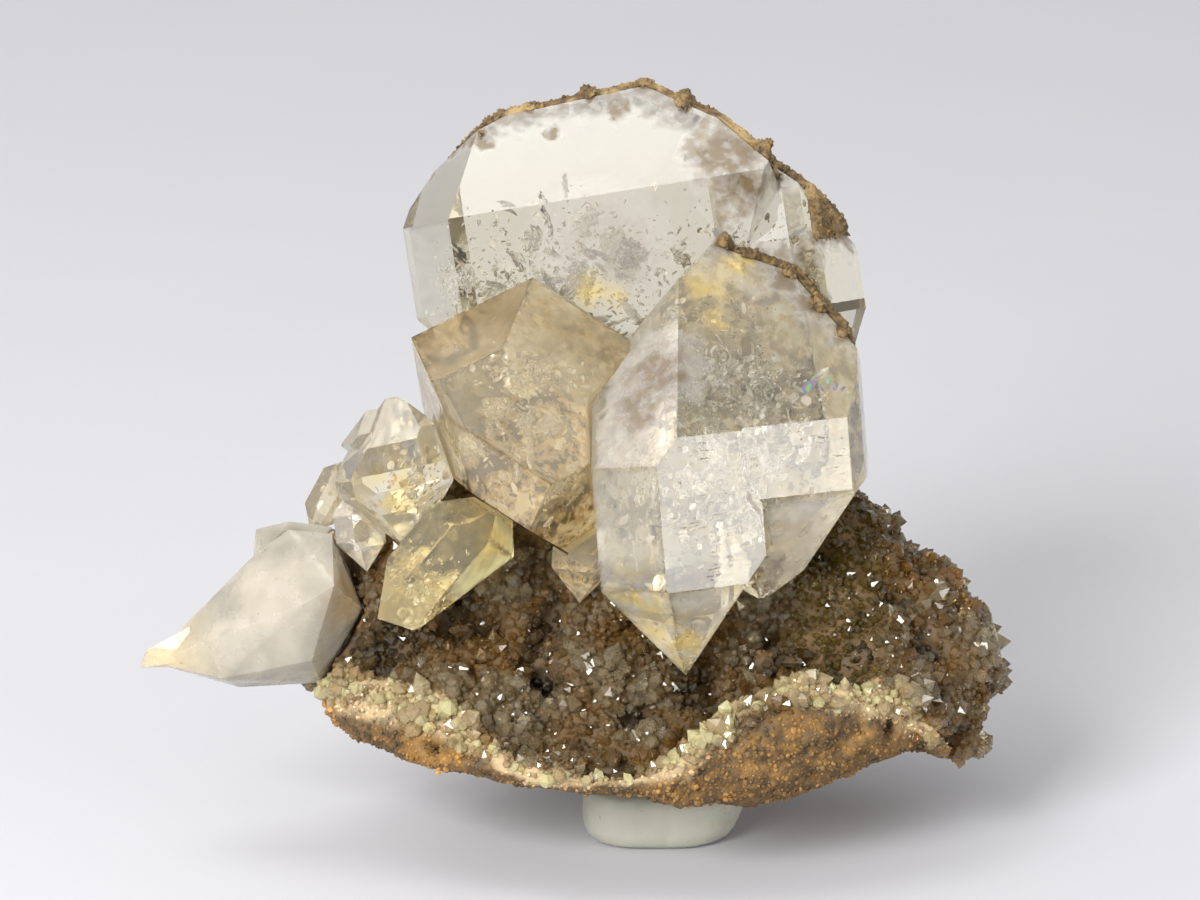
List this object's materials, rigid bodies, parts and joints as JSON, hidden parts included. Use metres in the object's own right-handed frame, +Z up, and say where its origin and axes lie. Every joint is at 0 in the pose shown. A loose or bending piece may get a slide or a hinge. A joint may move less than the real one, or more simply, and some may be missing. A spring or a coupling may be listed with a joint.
{
  "type": "quartz crystal specimen",
  "caption": "Clear double-pointed quartz crystals grown together on a lump of brown dolostone crusted with fine quartz points, with a milky calcite blade, standing on a lump of mounting putty.",
  "frame": {"origin": "on the resting surface, under the middle of the specimen's box", "axes": "+Z up, +X along the specimen's width towards the end away from the calcite, +Y towards the back crystal"},
  "size_m": [0.0898, 0.0554, 0.0767],
  "materials": {
    "matrix_rock": "rough brown dolostone with a grey glassy crust of fine quartz points",
    "clear_quartz": "clear quartz with inner fractures, glossy growth faces and fine growth steps",
    "smoky_quartz": "slightly smoky tan quartz, glossy",
    "yellow_quartz": "yellow-stained clear quartz, etched at its lower end",
    "brown_rind": "rough brown crust",
    "milky_calcite": "milky, waxy, half see-through",
    "putty": "dull greenish-white putty with creases"
  },
  "bodies": {
    "root": {"matrix": "matrix_rock", "front_crystal": "clear_quartz", "middle_crystal": "smoky_quartz", "back_crystal": "clear_quartz", "back_rind": "brown_rind", "front_rind": "brown_rind", "yellow_crystal": "yellow_quartz", "upper_left_crystal": "clear_quartz", "dark_small_crystal": "smoky_quartz", "low_small_crystal": "clear_quartz", "under_crystal": "smoky_quartz", "calcite_point": "milky_calcite", "putty_foot": "putty"}
  },
  "joints": []
}
